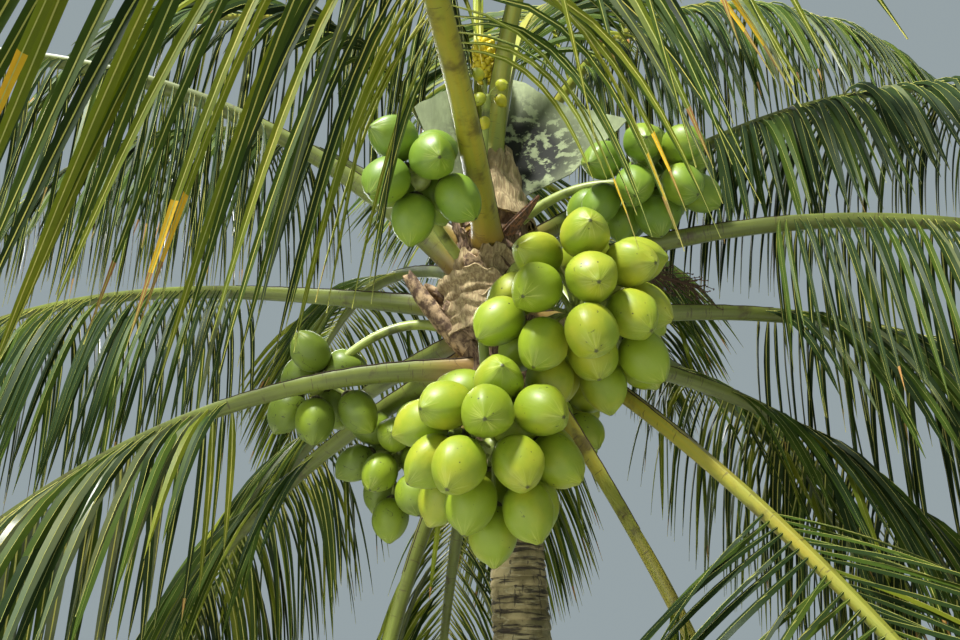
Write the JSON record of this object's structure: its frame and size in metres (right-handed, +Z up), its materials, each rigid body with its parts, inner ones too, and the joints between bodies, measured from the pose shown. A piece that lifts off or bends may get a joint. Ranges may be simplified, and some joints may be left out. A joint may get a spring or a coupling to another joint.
{
  "type": "coconut palm tree",
  "caption": "Coconut palm with a slightly leaning ringed trunk, a full crown of long arching feathery fronds and hanging bunches of green nuts round its heart.",
  "frame": {"origin": "centre of the flat cut under the trunk, at ground level", "axes": "+Z straight up; the fullest bunches of nuts and the nearest frond face -Y; +X to the right seen from there"},
  "size_m": [7.7459, 7.6399, 6.4962],
  "materials": {
    "bark": "rough grey-brown bark with ring scars",
    "leaf": "glossy deep green leaflets with yellow-green midribs",
    "leaf_stalk": "smooth waxy yellow-green with brown flecks",
    "nut": "smooth satin lime-green husk with small dark specks",
    "fibre": "thin woven sheath fibre, whitish to brown",
    "dry_husk": "dry matt brown spathe and flower stalk"
  },
  "bodies": {
    "root": {"trunk": "bark", "spear_leaf": "leaf_stalk", "frond_01_inner": "leaf", "frond_01_outer": "leaf", "frond_02_inner": "leaf", "frond_02_outer": "leaf", "frond_03_inner": "leaf", "frond_03_outer": "leaf", "frond_04_inner": "leaf", "frond_04_outer": "leaf", "frond_05_inner": "leaf", "frond_05_outer": "leaf", "frond_06_inner": "leaf", "frond_06_outer": "leaf", "frond_07": "leaf", "frond_08": "leaf", "frond_09_inner": "leaf", "frond_09_outer": "leaf", "frond_10_inner": "leaf", "frond_10_outer": "leaf", "frond_11_inner": "leaf", "frond_11_outer": "leaf", "frond_12_inner": "leaf", "frond_12_outer": "leaf", "frond_13_inner": "leaf", "frond_13_outer": "leaf", "frond_14": "leaf", "frond_15_inner": "leaf", "frond_15_outer": "leaf", "frond_16_inner": "leaf", "frond_16_outer": "leaf", "frond_17_inner": "leaf", "frond_17_outer": "leaf", "frond_18_inner": "leaf", "frond_18_outer": "leaf", "frond_19_inner": "leaf", "frond_19_outer": "leaf", "frond_20": "leaf", "frond_21": "leaf", "frond_22": "leaf", "frond_23_inner": "leaf", "frond_23_outer": "leaf", "frond_24": "leaf", "frond_25": "leaf", "dry_spathe": "dry_husk", "dry_flower_stalk": "dry_husk", "bunch_young": "nut", "bunch_upper_left": "nut", "bunch_upper_right": "nut", "bunch_front": "nut", "bunch_lower_front": "nut", "bunch_lower_left": "nut", "bunch_left": "nut", "bunch_back": "nut", "sheath_cloth_right": "fibre", "sheath_cloth_left": "fibre"}
  },
  "joints": []
}
